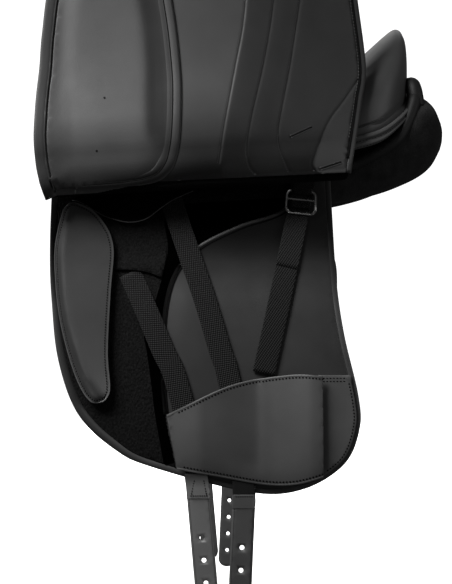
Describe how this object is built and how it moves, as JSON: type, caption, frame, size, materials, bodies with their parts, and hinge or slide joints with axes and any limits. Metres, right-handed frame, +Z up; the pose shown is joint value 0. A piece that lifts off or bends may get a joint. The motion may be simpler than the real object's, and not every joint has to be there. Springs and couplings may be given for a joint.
{
  "type": "dressage saddle",
  "caption": "Black dressage saddle with one flap lifted over the seat, showing thigh block, webbing girth straps with slide buckle, strap pocket and long girth points.",
  "frame": {"origin": "on the centreline, at the height of the flap folds, in the space that the horse's back fills", "axes": "+X to the rear, -Y to the near (left) side, +Z up"},
  "size_m": [0.4727, 0.4882, 0.9078],
  "materials": {
    "tree_plastic": "moulded matte",
    "steel": "zinc plated",
    "foam": "open-cell foam",
    "seat_leather": "smooth satin synthetic leather",
    "flap_leather": "smooth satin synthetic leather",
    "block_leather": "smooth satin synthetic leather",
    "facing_leather": "smooth satin synthetic leather",
    "point_leather": "stitched strap leather",
    "binding": "folded edge binding",
    "panel_suede": "matt suede-like cloth",
    "base_fabric": "matt laminated cloth",
    "loop_fabric": "brushed loop pile",
    "webbing": "ribbed nylon webbing",
    "buckle_metal": "nickel plated wire"
  },
  "bodies": {
    "saddle": {"tree": "tree_plastic", "gullet_plate": "steel", "gullet_screws": "steel", "seat_foam": "foam", "seat_cover": "seat_leather", "seat_welt": "binding", "pommel_facing": "seat_leather", "cantle_back": "seat_leather", "bar_rivets": "steel", "catch_pins": "steel", "panel_left": "panel_suede", "panel_right": "panel_suede", "flap_root_left": "flap_leather", "flap_root_right": "flap_leather", "skirt_left": "flap_leather", "skirt_right": "flap_leather", "rear_band_left": "binding", "rear_band_right": "binding", "sweat_flap_left": "base_fabric", "sweat_flap_right": "base_fabric", "sweat_binding_left": "binding", "sweat_binding_right": "binding", "loop_patch_left": "loop_fabric", "loop_patch_right": "loop_fabric", "point_cover_left": "facing_leather", "point_cover_right": "facing_leather", "facing_left": "facing_leather", "facing_right": "facing_leather", "facing_bead_left": "binding", "facing_bead_right": "binding", "strap_front_left": "webbing", "strap_front_right": "webbing", "strap_middle_left": "webbing", "strap_middle_right": "webbing", "strap_rear_left": "webbing", "strap_rear_right": "webbing", "pocket_left": "facing_leather", "pocket_right": "facing_leather", "pocket_side_left": "facing_leather", "pocket_side_right": "facing_leather", "stirrup_bar_left": "steel", "stirrup_bar_right": "steel"},
    "flap_left": {"flap_left": "flap_leather", "flap_pad_left": "flap_leather", "flap_binding_left": "binding"},
    "flap_right": {"flap_right": "flap_leather", "flap_pad_right": "flap_leather", "flap_binding_right": "binding"},
    "thigh_block_left": {"thigh_block_left": "block_leather", "hook_pad_left": "loop_fabric"},
    "slide_buckle_left": {"slide_buckle_left": "buckle_metal"},
    "girth_point_front_left": {"girth_point_front_left": "point_leather"},
    "girth_point_rear_left": {"girth_point_rear_left": "point_leather"},
    "bar_catch_left": {"bar_catch_left": "steel"},
    "thigh_block_right": {"thigh_block_right": "block_leather", "hook_pad_right": "loop_fabric"},
    "slide_buckle_right": {"slide_buckle_right": "buckle_metal"},
    "girth_point_front_right": {"girth_point_front_right": "point_leather"},
    "girth_point_rear_right": {"girth_point_rear_right": "point_leather"},
    "bar_catch_right": {"bar_catch_right": "steel"}
  },
  "joints": [
    {"name": "flap_lift_left", "type": "hinge", "parent": "saddle", "child": "flap_left", "pos_m": [0, -0.185, 0.01], "axis": [0.9981, 0, 0.061], "range_deg": [0, 176]},
    {"name": "flap_lift_right", "type": "hinge", "parent": "saddle", "child": "flap_right", "pos_m": [0, 0.185, 0.01], "axis": [0.9981, 0, 0.061], "range_deg": [0, 176]},
    {"name": "block_shift_left", "type": "hinge", "parent": "saddle", "child": "thigh_block_left", "pos_m": [0, 0.685, -0.36], "axis": [1, 0, 0], "range_deg": [-0.3, 1]},
    {"name": "block_shift_right", "type": "hinge", "parent": "saddle", "child": "thigh_block_right", "pos_m": [0, -0.685, -0.36], "axis": [1, 0, 0], "range_deg": [-1, 0.3]},
    {"name": "buckle_slide_left", "type": "slide", "parent": "saddle", "child": "slide_buckle_left", "axis": [-0.2121, -0.3779, -0.9012], "range_m": [0, 0.015]},
    {"name": "buckle_slide_right", "type": "slide", "parent": "saddle", "child": "slide_buckle_right", "axis": [-0.2121, 0.3779, -0.9012], "range_m": [0, 0.015]},
    {"name": "point_swing_front_left", "type": "hinge", "parent": "saddle", "child": "girth_point_front_left", "pos_m": [-0.01, -0.22353, -0.32768], "axis": [0.9962, 0, 0.0872], "range_deg": [-35, 25]},
    {"name": "point_swing_rear_left", "type": "hinge", "parent": "saddle", "child": "girth_point_rear_left", "pos_m": [0.04, -0.22385, -0.33879], "axis": [0.999, 0, -0.0436], "range_deg": [-35, 25]},
    {"name": "point_swing_front_right", "type": "hinge", "parent": "saddle", "child": "girth_point_front_right", "pos_m": [-0.01, 0.22353, -0.32768], "axis": [0.9962, 0, 0.0872], "range_deg": [-25, 35]},
    {"name": "point_swing_rear_right", "type": "hinge", "parent": "saddle", "child": "girth_point_rear_right", "pos_m": [0.04, 0.22385, -0.33879], "axis": [0.999, 0, -0.0436], "range_deg": [-25, 35]},
    {"name": "catch_turn_left", "type": "hinge", "parent": "saddle", "child": "bar_catch_left", "pos_m": [-0.048, -0.12266, 0.055], "axis": [0, 1, 0], "range_deg": [0, 60]},
    {"name": "catch_turn_right", "type": "hinge", "parent": "saddle", "child": "bar_catch_right", "pos_m": [-0.048, 0.12266, 0.055], "axis": [0, 1, 0], "range_deg": [0, 60]}
  ]
}
